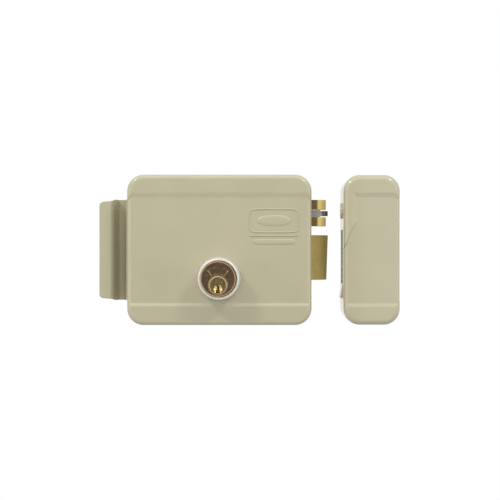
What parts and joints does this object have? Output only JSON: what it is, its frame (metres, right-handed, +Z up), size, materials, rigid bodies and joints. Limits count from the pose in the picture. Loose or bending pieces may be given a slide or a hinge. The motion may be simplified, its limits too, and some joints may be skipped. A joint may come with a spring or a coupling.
{
  "type": "electric gate lock",
  "caption": "Electric rim lock for a gate: beige case with pull, key cylinder, latch bolt, cocking plunger and trigger blade, and its strike box.",
  "frame": {"origin": "middle of the lock's four gate screws, in the plane of the gate's face", "axes": "+X along the lock towards the strike, +Y into the gate, +Z up"},
  "size_m": [0.2231, 0.057, 0.111],
  "materials": {
    "paint": "satin stoved enamel, beige",
    "zinc_plate": "zinc-plated sheet",
    "zinc_fixing": "bright zinc",
    "spring_steel": "oiled spring steel",
    "bright_steel": "ground steel",
    "soft_iron": "nickel-plated soft iron",
    "bolt_brass": "satin brass",
    "cylinder_brass": "polished brass",
    "collar_metal": "pale lacquered metal",
    "copper": null,
    "bobbin_plastic": "natural nylon",
    "terminal_plastic": "white polyamide",
    "lead_plastic": "red PVC insulation",
    "grommet_rubber": "black rubber"
  },
  "bodies": {
    "lock_body": {"base_plate": "zinc_plate", "cover": "paint", "cover_screws": "zinc_fixing", "pull_handle": "paint", "handle_rivets": "zinc_fixing", "slide_frame": "zinc_plate", "frame_screws": "zinc_fixing", "bolt_spring": "spring_steel", "plunger_springs": "spring_steel", "trigger_spring": "spring_steel", "lever_post": "zinc_fixing", "catch_post": "zinc_fixing", "retaining_clips": "spring_steel", "coil_frame": "zinc_plate", "coil_screws": "zinc_fixing", "coil_bobbin": "bobbin_plastic", "coil_winding": "copper", "coil_core": "soft_iron", "cylinder_collar": "collar_metal", "cylinder_body": "cylinder_brass", "cylinder_clip": "spring_steel", "terminal_block": "terminal_plastic", "terminal_screws": "zinc_fixing", "coil_leads": "lead_plastic", "wire_grommet": "grommet_rubber", "strike_base": "zinc_plate", "strike_cover": "paint", "strike_cover_screws": "zinc_fixing", "strike_keeper": "zinc_plate", "keeper_screws": "zinc_fixing"},
    "bolt": {"latch_bolt": "bolt_brass", "bolt_tail": "bright_steel", "tail_rivets": "zinc_fixing", "tail_pin": "bright_steel"},
    "plunger": {"cocking_plunger": "bolt_brass"},
    "trigger": {"trigger_blade": "bright_steel", "trigger_pin": "bright_steel"},
    "lever": {"release_lever": "bright_steel"},
    "armature": {"armature": "soft_iron", "armature_pin": "bright_steel"},
    "key_plug": {"cylinder_plug": "cylinder_brass", "key_cam": "bright_steel", "cam_screw": "zinc_fixing"},
    "catch": {"hold_catch": "bright_steel"}
  },
  "joints": [
    {"name": "bolt_slide", "type": "slide", "parent": "lock_body", "child": "bolt", "axis": [-1, 0, 0], "range_m": [0, 0.013], "stiffness_N_per_m": 600, "springref_m": -0.012, "deforming": ["bolt_spring"]},
    {"name": "plunger_slide", "type": "slide", "parent": "lock_body", "child": "plunger", "axis": [-1, 0, 0], "range_m": [0, 0.011], "stiffness_N_per_m": 700, "springref_m": -0.01, "deforming": ["plunger_springs"]},
    {"name": "trigger_slide", "type": "slide", "parent": "lock_body", "child": "trigger", "axis": [-1, 0, 0], "range_m": [0, 0.0125], "stiffness_N_per_m": 150, "springref_m": -0.01, "deforming": ["trigger_spring"]},
    {"name": "lever_pivot", "type": "hinge", "parent": "lock_body", "child": "lever", "pos_m": [0.014, -0.016, 0.046], "axis": [0, 1, 0], "range_deg": [0, 14.14]},
    {"name": "armature_slide", "type": "slide", "parent": "lock_body", "child": "armature", "axis": [-1, 0, 0], "range_m": [0, 0.00517]},
    {"name": "key_turn", "type": "hinge", "parent": "lock_body", "child": "key_plug", "pos_m": [-0.0005, -0.03, -0.0254], "axis": [0, -1, 0], "range_deg": [0, 60.05]},
    {"name": "catch_pivot", "type": "hinge", "parent": "lock_body", "child": "catch", "pos_m": [0.05045, -0.0064, 0.0045], "axis": [0, -1, 0], "range_deg": [0, 30.9]}
  ],
  "couplings": [
    {"joint": "lever_pivot", "follows": "bolt_slide", "rad_per_m": 18.916},
    {"joint": "armature_slide", "follows": "bolt_slide", "ratio": 0.39623},
    {"joint": "key_turn", "follows": "bolt_slide", "rad_per_m": 80.554},
    {"joint": "catch_pivot", "follows": "trigger_slide", "rad_per_m": 43.078}
  ]
}
